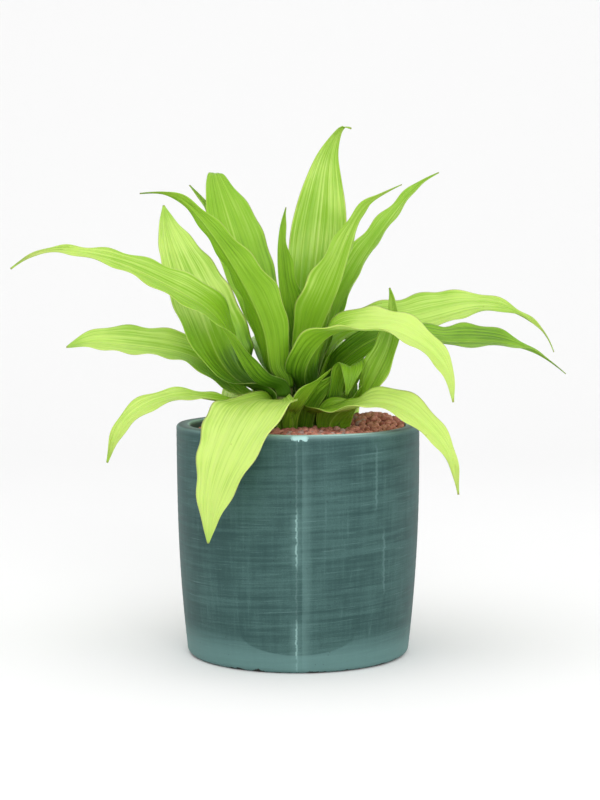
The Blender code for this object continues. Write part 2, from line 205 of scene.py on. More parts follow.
# %% [markdown]
# ## Pot
# The pot is thrown or cast stoneware with a teal glaze. Its section is a line that runs from the
# middle of the underside round the foot, up the wall, over the rounded lip and down inside to the
# floor. Turned about the axis, that line is the whole body. A wall that is a little uneven and a
# lip whose glaze has run make it look made by hand.

# %% Pot shape
POT_HEIGHT = 170.6
RIM_RADIUS = 90.0
WALL = 10.4
FLOOR = 12.0
TAPER = 8.0
TAPER_POWER = 2.6
LIP_ROUND = 2.6
FOOT_ROUND = 5.0
POT_COLUMNS = 400


def pot_radius(z):
    """Outer radius at height z: the rim's radius less a taper that grows towards the foot."""
    return RIM_RADIUS - TAPER * (1.0 - np.clip(z / POT_HEIGHT, 0.0, 1.0)) ** TAPER_POWER


def arc(centre, radius, start, end, count):
    """Points on a circle about centre, from the start angle to the end angle in degrees."""
    angle = np.radians(np.linspace(start, end, count))
    return np.stack([centre[0] + radius * np.cos(angle), centre[1] + radius * np.sin(angle)], -1)


def line(start, end, count):
    """Points evenly along a straight line, without its last point."""
    share = np.linspace(0.0, 1.0, count, endpoint=False)[:, None]
    return np.array(start) * (1.0 - share) + np.array(end) * share


foot_edge = float(pot_radius(FOOT_ROUND))
lip_height = POT_HEIGHT - LIP_ROUND
wall_heights = np.linspace(FOOT_ROUND, lip_height, 90)[1:-1]
inner_heights = np.linspace(lip_height, FLOOR + 8.0, 30)[1:]
pot_section = np.concatenate([
    line((4.0, 0.0), (foot_edge - FOOT_ROUND, 0.0), 6),
    arc((foot_edge - FOOT_ROUND, FOOT_ROUND), FOOT_ROUND, -90, 0, 9),
    np.stack([pot_radius(wall_heights), wall_heights], -1),
    arc((RIM_RADIUS - LIP_ROUND, lip_height), LIP_ROUND, 0, 90, 9),
    arc((RIM_RADIUS - WALL + LIP_ROUND, lip_height), LIP_ROUND, 90, 180, 9),
    np.stack([pot_radius(inner_heights) - WALL, inner_heights], -1),
    line((float(pot_radius(FLOOR)) - WALL - 8.0, FLOOR), (4.0, FLOOR), 6),
])

# %% Pot unevenness
turn = np.linspace(0.0, 2.0 * np.pi, POT_COLUMNS, endpoint=False)[None, :]
radius = pot_section[:, :1]
height = pot_section[:, 1:]
on_wall = smooth((radius - 60.0) / 15.0) * smooth(height / 12.0)
uneven = 0.16 * np.sin(3.0 * turn + height / 45.0) + 0.10 * np.sin(7.0 * turn - height / 23.0 + 1.0)
throwing = 0.05 * np.sin(height * 0.9 + 1.5 * np.sin(turn)) * (0.6 + 0.4 * np.sin(height * 0.13))
radius = radius + (uneven + throwing) * on_wall
near_lip = smooth((height - 160.0) / 10.0)
height = height + near_lip * (0.18 * np.sin(2.0 * turn + 0.4) + 0.10 * np.sin(9.0 * turn))
pot_grid = np.stack([radius * np.cos(turn), radius * np.sin(turn), height + 0.0 * radius], -1)

# How far a point is round either corner of the lip, 1 at the middle of its arc.
section_radius = pot_section[:, 0]
corner_in = np.exp(-((section_radius - 80.8) / 1.2) ** 2)
corner_out = np.exp(-((section_radius - 89.3) / 0.9) ** 2)
at_lip = smooth((pot_section[:, 1] - 166.8) / 2.6)
lip_in = (corner_in * at_lip)[:, None]
lip_out = (corner_out * at_lip)[:, None]
print("pot points:", pot_grid.shape)

# %% [markdown]
# ### Glaze
# The glaze is a greyish teal with a satin shine. It was brushed or dipped in turns, which left
# faint level streaks that rise a little to one side. It is thin and pale where it runs off the
# lip's edges, and a painted highlight along the lip adds to that paleness. Down the ridge of one
# seam runs a painted highlight: a thin pale line with a broader paler band beside it. The glaze is
# paler round the foot. The bare clay shows as a ragged dark line where the foot was wiped. Noise
# that is squeezed in height gives the streaks, and smooth steps on height and distance give the
# bands.

# %% Glaze
SEAM_X = -0.0009          # metres, where the painted highlight runs down the seam on the side facing the camera
HIGHLIGHT_BAND_X = 0.0068           # middle of the broader pale band of painted highlight beside it
DARK_TEAL = (0.033, 0.080, 0.077, 1)
LIGHT_TEAL = (0.066, 0.140, 0.132, 1)
PALE_TEAL = (0.175, 0.315, 0.300, 1)
THIN_GLAZE_AND_HIGHLIGHT = (0.420, 0.660, 0.645, 1)
glaze = Finish("pot_glaze")
x, y, z, place = glaze.object_place()
in_front = glaze.ramp(y, -0.02, -0.06)
tilted = glaze.math("SUBTRACT", z, glaze.math("MULTIPLY", x, 0.05))
ring_place = glaze.add("CombineXYZ", {0: x, 1: y, 2: tilted})
streaks = glaze.noise(glaze.stretched(ring_place, (11.0, 11.0, 300.0)), 1.0, 5.0, 0.68)
fine_streaks = glaze.noise(glaze.stretched(ring_place, (30.0, 30.0, 1000.0)), 1.0, 3.0, 0.6)
uprights = glaze.noise(glaze.stretched(place, (330.0, 330.0, 16.0)), 1.0, 4.0, 0.62)
patches = glaze.noise(glaze.stretched(place, (38.0, 38.0, 26.0)), 1.0, 3.0, 0.6)
grain = glaze.noise(place, 1300.0, 2.0, 0.6)

# The body: level brush marks over thinner upright ones, in blotches, with a fine grain.
weave = glaze.math("ADD", glaze.math("MULTIPLY", streaks, 0.54), glaze.math("MULTIPLY", uprights, 0.18))
weave = glaze.math("ADD", weave, glaze.math("MULTIPLY", patches, 0.28))
teal = glaze.blend(glaze.ramp(weave, 0.38, 0.62), DARK_TEAL, LIGHT_TEAL)
teal = glaze.blend(glaze.ramp(fine_streaks, 0.58, 0.76, 0.0, 0.34), teal, PALE_TEAL)
teal = glaze.blend(glaze.ramp(uprights, 0.62, 0.84, 0.0, 0.26), teal, PALE_TEAL)
teal = glaze.blend(glaze.ramp(grain, 0.30, 0.72, 0.30, 0.0), teal, (0.020, 0.046, 0.044, 1))

# The seam: a painted highlight down its ridge, a wandering thin line, bright in places, beside a broader paler band of
# painted highlight with one hard side.
wander = glaze.noise(glaze.stretched(place, (0.0, 0.0, 150.0)), 1.0, 4.0, 0.65)
drift = glaze.math("MULTIPLY", glaze.math("SUBTRACT", wander, 0.5), 0.0056)
from_seam = glaze.math("SUBTRACT", x, SEAM_X)
from_highlight_line = glaze.math("ABSOLUTE", glaze.math("ADD", from_seam, drift))
middle_part = glaze.ramp(glaze.math("ABSOLUTE", glaze.math("SUBTRACT", z, 0.097)), 0.026, 0.014)
low_part = glaze.ramp(glaze.math("ABSOLUTE", glaze.math("SUBTRACT", z, 0.018)), 0.026, 0.014)
highlight_share = glaze.math("MAXIMUM", glaze.math("MAXIMUM", middle_part, low_part), 0.16)
highlight_share = glaze.math("MULTIPLY", highlight_share, glaze.ramp(wander, 0.36, 0.56, 0.35, 1.0))
seam_highlight = glaze.math("MULTIPLY", glaze.ramp(from_highlight_line, 0.0010, 0.0002), glaze.math("MULTIPLY", highlight_share, in_front))
highlight_halo = glaze.math("MULTIPLY", glaze.ramp(from_highlight_line, 0.0060, 0.0006), glaze.math("MULTIPLY", highlight_share, in_front))
in_highlight_band = glaze.math("SUBTRACT", x, glaze.math("ADD", HIGHLIGHT_BAND_X, glaze.math("MULTIPLY", drift, 0.3)))
highlight_band = glaze.math("MULTIPLY", glaze.ramp(in_highlight_band, -0.0042, -0.0034), glaze.ramp(in_highlight_band, 0.0052, -0.0030))
highlight_band = glaze.math("MULTIPLY", glaze.math("MULTIPLY", highlight_band, in_front), glaze.ramp(patches, 0.30, 0.60, 0.35, 1.0))
# Painted highlight: the pale band, the halo and the bright line down the seam.
teal = glaze.blend(glaze.math("MULTIPLY", highlight_band, 0.27), teal, PALE_TEAL)
teal = glaze.blend(glaze.math("MULTIPLY", highlight_halo, 0.30), teal, PALE_TEAL)
teal = glaze.blend(glaze.math("MULTIPLY", seam_highlight, 0.60), teal, (0.330, 0.520, 0.500, 1))

# Two thin upright runs on the right.
for line_x, line_low, line_high in ((0.0557, 0.122, 0.166), (0.0614, 0.060, 0.104)):
    beside = glaze.math("ABSOLUTE", glaze.math("SUBTRACT", x, glaze.math("ADD", line_x, drift)))
    level = glaze.math("MULTIPLY", glaze.ramp(z, line_low - 0.01, line_low), glaze.ramp(z, line_high, line_high - 0.01))
    thin = glaze.math("MULTIPLY", glaze.ramp(beside, 0.0011, 0.0003), glaze.math("MULTIPLY", level, in_front))
    teal = glaze.blend(glaze.math("MULTIPLY", thin, 0.24), teal, PALE_TEAL)

# Pale round the foot, fading upwards, under a dark half ellipse in the middle of the front.
round_foot = glaze.math("MULTIPLY", glaze.math("SUBTRACT", patches, 0.5), 0.010)
foot_band = glaze.ramp(glaze.math("ADD", z, round_foot), 0.030, 0.008)
dip_x = glaze.math("DIVIDE", glaze.math("ABSOLUTE", x), 0.041)
dip_z = glaze.math("DIVIDE", glaze.math("SUBTRACT", 0.027, z), 0.0135)
dip = glaze.math("ADD", glaze.math("POWER", dip_x, 2.0), glaze.math("POWER", glaze.math("ABSOLUTE", dip_z), 2.0))
dip = glaze.math("MULTIPLY", glaze.ramp(dip, 1.04, 0.90), in_front)
foot_band = glaze.math("MULTIPLY", foot_band, glaze.math("SUBTRACT", 1.0, glaze.math("MULTIPLY", dip, 0.80)))
teal = glaze.blend(glaze.math("MULTIPLY", foot_band, 0.62), teal, (0.150, 0.282, 0.270, 1))

# Pale on the lip's corners, all over its narrow front and on its top at the front: thin glaze on the edges together
# with a painted highlight along the lip, with ragged runs beside the seam.
lip_in_share = glaze.attribute("lip_in")
lip_out_share = glaze.attribute("lip_out")
run_noise = glaze.noise(glaze.stretched(place, (260.0, 260.0, 140.0)), 1.0, 4.0, 0.7)
lip_front = glaze.ramp(y, -0.040, -0.078, 0.30, 0.45)
lip_share = glaze.math("ADD", lip_in_share, glaze.math("MULTIPLY", lip_out_share, glaze.math("MULTIPLY", lip_front, 0.8)), True)
lip_top = glaze.math("MULTIPLY", glaze.ramp(z, 0.1697, 0.1704), glaze.ramp(y, -0.050, -0.080))
drip_width = glaze.math("MULTIPLY", glaze.ramp(glaze.math("ABSOLUTE", glaze.math("SUBTRACT", x, 0.0012)), 0.0082, 0.0040), in_front)
drip_low = glaze.math("ADD", z, glaze.math("MULTIPLY", drip_width, glaze.ramp(run_noise, 0.30, 0.66, 0.0, 0.0042)))
drips = glaze.math("MULTIPLY", glaze.ramp(drip_low, 0.1692, 0.1698), drip_width)
lip_share = glaze.math("MAXIMUM", glaze.math("MAXIMUM", lip_share, lip_top), drips)
teal = glaze.blend(glaze.math("MULTIPLY", lip_share, 0.92), teal, THIN_GLAZE_AND_HIGHLIGHT)

# Dark pinholes and the bare clay foot with its ragged edge.
pinholes = glaze.add("TexVoronoi", {"Vector": place, "Scale": 130.0, "Randomness": 1.0})
teal = glaze.blend(glaze.ramp(pinholes, 0.055, 0.035, 0.0, 0.6), teal, (0.012, 0.018, 0.018, 1))
ragged = glaze.noise(glaze.stretched(place, (95.0, 95.0, 30.0)), 1.0, 5.0, 0.72)
bare = glaze.ramp(glaze.math("SUBTRACT", z, glaze.ramp(ragged, 0.42, 0.70, 0.0002, 0.0030)), 0.0003, -0.0001)
colour = glaze.blend(bare, teal, (0.030, 0.030, 0.027, 1))
glaze.set(base_color=colour)
glaze.set(roughness=glaze.math("ADD", glaze.ramp(streaks, 0.3, 0.7, 0.46, 0.56), glaze.math("MULTIPLY", bare, 0.3)))
glaze.set(specular_ior_level=0.12)
relief = glaze.math("ADD", glaze.math("MULTIPLY", streaks, 0.6), glaze.math("MULTIPLY", fine_streaks, 0.4))
relief = glaze.math("ADD", relief, glaze.math("MULTIPLY", uprights, 0.4))
relief = glaze.math("ADD", relief, glaze.math("MULTIPLY", seam_highlight, 0.8))
relief = glaze.math("ADD", relief, glaze.math("MULTIPLY", grain, 0.08))
glaze.set(normal=glaze.bump(relief, 0.00018, 0.6))

pot = closed_piece("pot_body", pot_grid, glaze.material, {"lip_in": lip_in, "lip_out": lip_out})
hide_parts("pot")

# %% [markdown]
# ## Granules
# The pot is topped up with fired clay granules, 3 to 6 mm across, rounded but lumpy, brick red
# with a few paler ones. They lie a few millimetres under the rim and in a small heap on the
# right. Each granule is a ball of a few dozen faces, a grid of latitude rings, that is squeezed,
# turned and dented by random numbers of its own. All of them are worked out together as one
# array. A bed closes the gaps between them, coloured dark as painted shade in those gaps.

# %% Granule level
GRANULE_LEVEL = 166.5
MOUND_CENTRE = (55.0, 12.0)
MOUND_RISE = 10.0
MOUND_REACH = 18.0
LEFT_DIP = 3.0
FIT_GAP = 0.4
CANE_RADIUS = 6.0
CANES = {
    # name: (x, y, height of the growing tip above the granules)
    "left": (-10.0, -4.0, 44.0),
    "middle": (6.0, 10.0, 50.0),
    "right": (27.0, -4.0, 26.0),
}


def granule_height(x, y):
    """Height of the granule surface: level, the heap on the right and the dip on the left."""
    far = ((x - MOUND_CENTRE[0]) ** 2 + (y - MOUND_CENTRE[1]) ** 2) / (2.0 * MOUND_REACH ** 2)
    return GRANULE_LEVEL + MOUND_RISE * np.exp(-far) - LEFT_DIP * smooth((-x - 40.0) / 30.0)


# %% Granule bed
bed_edge = float(pot_radius(POT_HEIGHT)) - WALL - FIT_GAP
bed_foot = float(pot_radius(FLOOR)) - WALL - FIT_GAP
bed_radii = np.concatenate([
    np.linspace(4.0, bed_foot - 8.0, 4), [bed_foot], np.linspace(bed_foot + 0.5, bed_edge, 6),
    np.linspace(bed_edge, 2.0, 40)])
bed_turn = np.linspace(0.0, 2.0 * np.pi, 120, endpoint=False)
bed_x = bed_radii[:, None] * np.cos(bed_turn)
bed_y = bed_radii[:, None] * np.sin(bed_turn)
bed_top = granule_height(bed_x, bed_y) - 4.0
side_heights = np.concatenate([np.full(4, FLOOR + FIT_GAP), [FLOOR + 8.0], np.linspace(30.0, 155.0, 6)])
bed_z = np.where(np.arange(len(bed_radii))[:, None] < 11, np.append(side_heights, np.zeros(40))[:, None], bed_top)

# The bed's dark colour and its noise are painted shade, standing for the shade deep in the gaps.
bed_shade = Finish("granule_bed")
x, y, z, place = bed_shade.object_place()
bed_shade_noise = bed_shade.noise(place, 420.0, 4.0, 0.6)
bed_shade.set(base_color=bed_shade.blend(bed_shade.ramp(bed_shade_noise, 0.35, 0.7), (0.018, 0.008, 0.006, 1), (0.085, 0.035, 0.024, 1)))
bed_shade.set(roughness=0.95, normal=bed_shade.bump(bed_shade_noise, 0.001, 0.8))
bed = closed_piece("granule_bed", np.stack([bed_x, bed_y, bed_z], -1), bed_shade.material)
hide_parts("granules")

# %% [markdown]
# ### Fired clay
# Each granule has a tone of its own, from rusty brown to a greyish pink, kept as an attribute on
# its points. Noise darkens it in blotches and flecks it pale, each granule's lower half is
# darkened as painted shade, and a fine bump makes its skin rough.

# %% Granule finish
clay = Finish("granules")
x, y, z, place = clay.object_place()
tone = clay.attribute("tone")
red = clay.blend(clay.ramp(tone, 0.0, 0.85), (0.460, 0.150, 0.110, 1), (0.800, 0.340, 0.270, 1))
red = clay.blend(clay.ramp(tone, 0.88, 0.95), red, (0.560, 0.360, 0.330, 1))
mottle = clay.noise(place, 900.0, 3.0, 0.6)
red = clay.blend(clay.ramp(mottle, 0.45, 0.70, 0.0, 0.45), red, (0.220, 0.070, 0.045, 1))
chalk = clay.noise(place, 2600.0, 2.0, 0.6)
red = clay.blend(clay.ramp(chalk, 0.60, 0.78, 0.0, 0.40), red, (0.780, 0.480, 0.390, 1))
# Painted shade: darker towards each granule's underside, and darker still in the layer below.
red = clay.blend(clay.ramp(clay.attribute("low"), -0.05, 0.85, 0.0, 0.85), red, (0.060, 0.018, 0.014, 1))
clay.set(base_color=red, roughness=0.82)
clay.set(normal=clay.bump(clay.math("ADD", mottle, clay.math("MULTIPLY", chalk, 0.3)), 0.00035, 0.8))


# %% Granules
def lumpy_balls(centres, sizes, rings, columns, scatter):
    """Balls on a latitude grid, each stretched, dented along two directions and turned at random.

    A dent adds a share of sin(k times the point's height along a direction) to the radius."""
    polar = np.linspace(0.0, np.pi, rings + 2)[:, None]
    around = np.linspace(0.0, 2.0 * np.pi, columns, endpoint=False)[None, :]
    ball = np.stack([np.sin(polar) * np.cos(around), np.sin(polar) * np.sin(around),
                     -np.cos(polar) + 0.0 * around], -1)
    inner = ball[1:-1].reshape(-1, 3)
    unit = np.concatenate([inner, ball[0, :1], ball[-1, :1]])
    count = len(centres)
    directions = scatter.normal(size=(count, 2, 3))
    directions /= np.linalg.norm(directions, axis=2, keepdims=True)
    along = np.einsum("pk,cdk->cdp", unit, directions)
    dent = 1.0 + 0.07 * np.sin(3.1 * along[:, 0] + 1.0) + 0.05 * np.sin(4.6 * along[:, 1])
    stretch = scatter.uniform(0.84, 1.12, (count, 1, 3))
    shape = unit[None] * dent[..., None] * stretch * sizes[:, None, None] / 2.0
    turned, _ = np.linalg.qr(scatter.normal(size=(count, 3, 3)))
    turned *= np.linalg.det(turned)[:, None, None]
    points = np.einsum("cpk,ckj->cpj", shape, turned) + centres[:, None, :]
    offset = (np.arange(count) * len(unit))[:, None, None]
    quads = (grid_faces(rings, columns)[None] + offset).reshape(-1, 4)
    fans = (end_fans(rings, columns)[None] + offset).reshape(-1, 3)
    low = (centres[:, None, 2] - points[..., 2]) / (sizes[:, None] / 2.0)
    return points, quads, fans, low


def granule_layer(name, pitch, sink, rings, columns, seed, shade=0.0):
    """A layer of granules on a jittered triangular lattice, sink below the surface.

    The low attribute says how far a point is below its ball's middle, which the finish darkens as painted shade; shade
    is added to it, darker for a deeper layer."""
    scatter = np.random.default_rng(seed)
    reach = int(bed_edge / pitch) + 2
    i, j = np.meshgrid(np.arange(-reach, reach + 1), np.arange(-reach, reach + 1))
    spots = np.stack([(i + 0.5 * (j % 2)) * pitch, j * pitch * math.sqrt(0.75)], -1).reshape(-1, 2)
    spots = spots + scatter.uniform(-0.32, 0.32, spots.shape) * pitch
    sizes = pitch * (0.86 + 0.5 * scatter.random(len(spots)) ** 1.6)
    free = np.hypot(spots[:, 0], spots[:, 1]) < bed_edge - 0.45 * sizes
    for cane_x, cane_y, _ in CANES.values():
        free &= np.hypot(spots[:, 0] - cane_x, spots[:, 1] - cane_y) > CANE_RADIUS + 0.3 * sizes
    spots, sizes = spots[free], sizes[free]
    top = granule_height(spots[:, 0], spots[:, 1]) - sink + scatter.uniform(-0.9, 0.9, len(spots))
    centres = np.column_stack([spots, top])
    points, quads, fans, low = lumpy_balls(centres, sizes, rings, columns, scatter)
    tones = np.repeat(scatter.random(len(spots)), points.shape[1])
    piece = make_piece(name, points, [quads, fans], clay.material, {"tone": tones, "low": low + shade})
    print(name, "granules:", len(spots))
    return piece


granule_layer("granules_top", 4.5, 0.6, 5, 8, 3)
# The layer below is darker all over: painted shade in the gaps between the top granules.
granule_layer("granules_under", 4.5, 3.4, 3, 7, 4, 0.5)

# %% [markdown]
# ## Canes
# A dracaena's cane is a green-brown woody stem, ringed by the scars of the leaves it has shed.
# It is a circle carried up a straight line: the rings are narrow dents, a little uneven, and the
# growing tip closes in a dome. Most of it is hidden by leaf bases.

# %% Cane finish
CANE_SEAT = 22.0
SCAR_STEP = 6.5
bark = Finish("cane")
x, y, z, place = bark.object_place()
fibres = bark.noise(bark.stretched(place, (900.0, 900.0, 60.0)), 1.0, 4.0, 0.6)
blotches = bark.noise(place, 160.0, 3.0, 0.6)
scar = bark.attribute("scar")
skin = bark.blend(bark.ramp(fibres, 0.35, 0.68), (0.160, 0.200, 0.045, 1), (0.300, 0.330, 0.110, 1))
skin = bark.blend(bark.ramp(blotches, 0.5, 0.7, 0.0, 0.6), skin, (0.205, 0.150, 0.070, 1))
skin = bark.blend(bark.math("MULTIPLY", scar, 0.8), skin, (0.110, 0.075, 0.030, 1))
bark.set(base_color=skin, roughness=0.7, normal=bark.bump(fibres, 0.0004, 0.7))


# %% Canes
def build_cane(name, phase):
    """A cane: rings of radius 6 mm with a dent at each leaf scar and a dome on top."""
    cane_x, cane_y, top = CANES[name]
    foot = GRANULE_LEVEL - CANE_SEAT
    crest = GRANULE_LEVEL + top
    rise = np.linspace(0.0, 1.0, 110)[:, None]
    z = foot + (crest - foot) * rise
    angle = np.linspace(0.0, 2.0 * np.pi, 40, endpoint=False)[None, :]
    tilt = z + 0.8 * np.sin(angle + phase)
    scar = np.exp(-(np.mod(tilt, SCAR_STEP) - SCAR_STEP / 2.0) ** 2 / 0.35)
    dome = np.sqrt(np.clip(1.0 - np.clip((z - crest + 10.0) / 10.0, 0.0, 0.995) ** 2.2, 0.0, 1.0))
    girth = CANE_RADIUS * dome * (1.0 - 0.05 * scar - 0.02 * np.sin(3.0 * angle + phase + z / 9.0) ** 2)
    grid = np.stack([cane_x + girth * np.cos(angle), cane_y + girth * np.sin(angle), z + 0.0 * girth], -1)
    piece = closed_piece("cane_bark_" + name, grid, bark.material, {"scar": scar})
    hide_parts("cane_" + name)


for number, cane_name in enumerate(CANES):
    build_cane(cane_name, 1.3 * number)

# %% [markdown]
# ## Leaves
# Each leaf clasps its cane with a narrow base, opens into a blade, and arches over to a drawn-out
# tip. The midrib is a smooth curve through a few points. Across it lies an arc that is tight at
# the base and almost flat in the blade. Long pleats run from base to tip, a groove marks the
# midrib, and the edges are waved. The upper and the lower skin are one ring of points around the
# blade, so the edge is thin and round and the leaf is closed.

# %% Leaf rows
Leaf = namedtuple("Leaf", "cane up heading swing width lean peak taper roll fold slot path")
# cane: the cane it grows from. up: height of its base above the granules.
# heading: compass angle of the base, 0 = +X and 90 = +Y. swing: how far the face turns on the way.
# width: widest place. lean: share by which the right half is wider and the left one narrower.
# peak: share of the length where it is widest. taper: shoulder and tail powers.
# roll: twist at mid length and at the tip. fold: angle of each half from flat, at base and tip.
# path: points the midrib passes through after the base, in mm, the last one is the tip.
LEAVES = {
    "far_left": Leaf("left", 25, 222, -18, 34, 0, 0.34, (1.7, 1.7), (-52, -34), (10, 5), "leaf_green", (
        (-31, -19, 204), (-56, -30, 247), (-87, -38, 271), (-119, -44, 287), (-151, -50, 297),
        (-183, -53, 298), (-204, -54, 286))),
    "left_broad": Leaf("left", 17, 145, -30, 52, 0.06, 0.34, (2.4, 1.1), (-6, -6), (14, 7), "leaf_deep", (
        (-46, -1, 204), (-68, 8, 240), (-85, 30, 280), (-98, 50, 313), (-103, 62, 332))),
    "left_over": Leaf("left", 31, -118, -14, 40, 0, 0.4, (1.3, 1.8), (0, 30), (16, 8), "leaf_green", (
        (-19, -15, 211), (-23, -24, 236), (-45, -44, 287), (-74, -60, 328), (-91, -64, 339),
        (-111, -66, 339))),
    "upper_left": Leaf("left", 34, 105, 0, 40, 0.06, 0.5, (2.6, 4.2), (0, 0), (10, -40), "leaf_green", (
        (-22, 15, 235), (-41, 38, 287), (-57, 59, 335), (-64, 74, 357), (-62, 92, 351),
        (-57, 104, 331))),
    "upper_left_back": Leaf("middle", 20, 132, 0, 28, 0, 0.5, (1.6, 1.3), (0, 0), (14, 7), "leaf_green", (
        (-24, 42, 238), (-63, 80, 319), (-85, 98, 348))),
    "young": Leaf("middle", 42, 214, -14, 27, -0.15, 0.42, (1.6, 1.2), (0, 0), (36, 20), "leaf_green", (
        (-8, 4, 239), (-14, -1, 299), (-9, 0, 330))),
    "crown": Leaf("middle", 41, 92, -2, 42, 0, 0.5, (1.9, 1.6), (0, 0), (8, 4), "leaf_pale", (
        (9, 22, 254), (14, 28, 298), (18, 34, 336), (22, 38, 366), (28, 38, 382), (34, 36, 390),
        (40, 34, 389))),
    "crown_front": Leaf("middle", 29, -35, 0, 48, 0, 0.42, (1.5, 1.8), (0, 0), (25, 12), "leaf_green", (
        (13, -1, 229), (28, -12, 269), (44, -22, 321), (57, -26, 337), (75, -26, 346))),
    "upper_right": Leaf("middle", 24, 40, -22, 30, 0, 0.5, (1.6, 1.3), (14, 20), (25, 12), "leaf_green", (
        (27, 27, 242), (50, 42, 290), (79, 58, 332), (93, 64, 348), (108, 66, 357))),
    "right_upright": Leaf("right", 8, -14, 0, 26, 0, 0.5, (1.6, 1.2), (55, 60), (12, 6), "leaf_green", (
        (44, -17, 187), (57, -29, 209), (66, -37, 231), (69, -37, 256), (66, -35, 272))),
    "front_right": Leaf("middle", 21, -81, 51, 42, 0, 0.5, (1.6, 1.2), (18, 20), (16, 4), "leaf_pale", (
        (5, -23, 212), (24, -38, 239), (48, -50, 243), (65, -58, 243), (79, -62, 238),
        (93, -65, 229), (105, -66, 214), (110, -66, 192))),
    "right_high": Leaf("middle", 15, 25, -15, 50, 0, 0.55, (1.3, 2.3), (26, 30), (10, 5), "leaf_pale", (
        (22, 21, 218), (31, 32, 231), (50, 32, 240), (84, 33, 243), (110, 31, 249), (132, 27, 255),
        (154, 21, 255), (171, 15, 248), (183, 10, 238), (190, 6, 223))),
    "right_long": Leaf("middle", 11, 24, 13, 37, 0, 0.65, (3.0, 3.8), (23, 22), (6, 7), "leaf_deep", (
        (27, 14, 209), (38, 3, 221), (64, -7, 236), (105, -16, 233), (141, -18, 232),
        (170, -17, 226), (183, -20, 219), (195, -24, 209))),
    "low_right": Leaf("middle", 4, -75, 40, 31, 0, 0.5, (1.6, 1.4), (22, 20), (10, 5), "leaf_pale", (
        (14, -14, 181), (21, -27, 183), (35, -43, 185), (53, -55, 191), (75, -66, 187),
        (91, -72, 175), (103, -78, 162), (110, -80, 146), (113, -80, 128))),
    "front_drop": Leaf("left", 13, -125, 0, 68, 0, 0.42, (1.6, 1.1), (0, 0), (-12, 0), "leaf_pale", (
        (-21, -30, 191), (-34, -74, 186), (-53, -104, 148), (-60, -108, 120), (-62, -109, 98))),
    "low_left": Leaf("left", 4, 200, 0, 21, 0, 0.6, (1.6, 1.2), (-14, -40), (6, 3), "leaf_pale", (
        (-39, -20, 187), (-60, -30, 191), (-78, -36, 194), (-96, -41, 192), (-115, -46, 184),
        (-129, -49, 169), (-137, -50, 147))),
    "left_mid": Leaf("left", 10, 163, 0, 37, 0, 0.6, (2.6, 0.9), (-26, -32), (8, 4), "leaf_pale", (
        (-43, 12, 191), (-66, 20, 211), (-85, 24, 221), (-111, 24, 226), (-137, 22, 229),
        (-156, 18, 230), (-173, 14, 226))),
    "small_front": Leaf("left", 5, -40, -10, 25, -0.2, 0.45, (1.6, 1.3), (10, 15), (15, 7), "leaf_green", (
        (0, -22, 183), (12, -34, 201), (24, -42, 214))),
    "small_fold": Leaf("right", 17, -60, 0, 20, 0, 0.5, (1.6, 1.2), (0, 0), (12, 6), "leaf_green", (
        (32, -14, 198), (37, -24, 214), (38, -31, 214), (37, -35, 204), (35, -36, 194))),
    "back_left": Leaf("middle", 8, 150, 0, 36, 0, 0.5, (1.6, 1.3), (0, 0), (12, 6), "leaf_green", (
        (-17, 28, 201), (-32, 60, 225), (-44, 100, 223), (-53, 135, 200), (-51, 150, 173))),
    "back": Leaf("middle", 34, 126, -26, 32, 0, 0.5, (1.6, 1.3), (0, 0), (12, 6), "leaf_green", (
        (-3, 38, 238), (2, 66, 280), (6, 102, 282), (6, 138, 240), (5, 158, 195))),
    "back_right": Leaf("right", 13, 92, 0, 32, 0, 0.5, (1.6, 1.3), (0, 0), (12, 6), "leaf_green", (
        (33, 28, 198), (37, 60, 221), (40, 100, 223), (39, 130, 204), (36, 142, 178))),
    "back_low_left": Leaf("left", 6, 97, 0, 34, 0, 0.5, (1.6, 1.2), (0, 0), (10, 5), "leaf_pale", (
        (-25, 30, 181), (-35, 60, 186), (-44, 95, 178), (-48, 125, 144), (-48, 130, 111))),
    "back_low_right": Leaf("right", 9, 96, 0, 34, 0, 0.5, (1.6, 1.2), (0, 0), (10, 5), "leaf_pale", (
        (29, 25, 182), (31, 60, 185), (33, 95, 175), (35, 125, 144), (36, 130, 103))),
}
print("leaves:", len(LEAVES))

# %% Leaf midrib
SEAT_OFFSET = 0.9
BASE_HALF_WIDTH = 6.5
CLASP_HALF_WIDTH = 10.5
TIP_HALF_WIDTH = 0.8
SHEATH_RADIUS = 8.2
BLADE_RADIUS = 60.0
SHEATH_SHARE = 0.22
LIFT_OUT = 2.2
LIFT_UP = 6.0
SWING_SHARE = 0.6
ROLL_START = 0.08
ROLL_MIDDLE = 0.4
FOLD_SHARE = 0.15


def curve_through(points, count=400):
    """Natural cubic spline through the points, sampled finely, with its running length."""
    p = np.array(points, float)
    steps = np.linalg.norm(np.diff(p, axis=0), axis=1) ** 0.5
    knots = np.concatenate([[0.0], np.cumsum(steps)])
    last = len(p) - 1
    matrix = np.eye(last + 1)
    target = np.zeros((last + 1, 3))
    for i in range(1, last):
        before, after = steps[i - 1], steps[i]
        matrix[i, i - 1:i + 2] = before, 2.0 * (before + after), after
        target[i] = 6.0 * ((p[i + 1] - p[i]) / after - (p[i] - p[i - 1]) / before)
    bend = np.linalg.solve(matrix, target)
    u = np.linspace(0.0, knots[-1], count)
    i = np.clip(np.searchsorted(knots, u, side="right") - 1, 0, last - 1)
    gap = steps[i][:, None]
    to_end = (knots[i + 1] - u)[:, None]
    from_start = (u - knots[i])[:, None]
    curve = bend[i] * to_end ** 3 / (6.0 * gap) + bend[i + 1] * from_start ** 3 / (6.0 * gap)
    curve += (p[i] / gap - bend[i] * gap / 6.0) * to_end
    curve += (p[i + 1] / gap - bend[i + 1] * gap / 6.0) * from_start
    length = np.concatenate([[0.0], np.cumsum(np.linalg.norm(np.diff(curve, axis=0), axis=1))])
    return curve, length


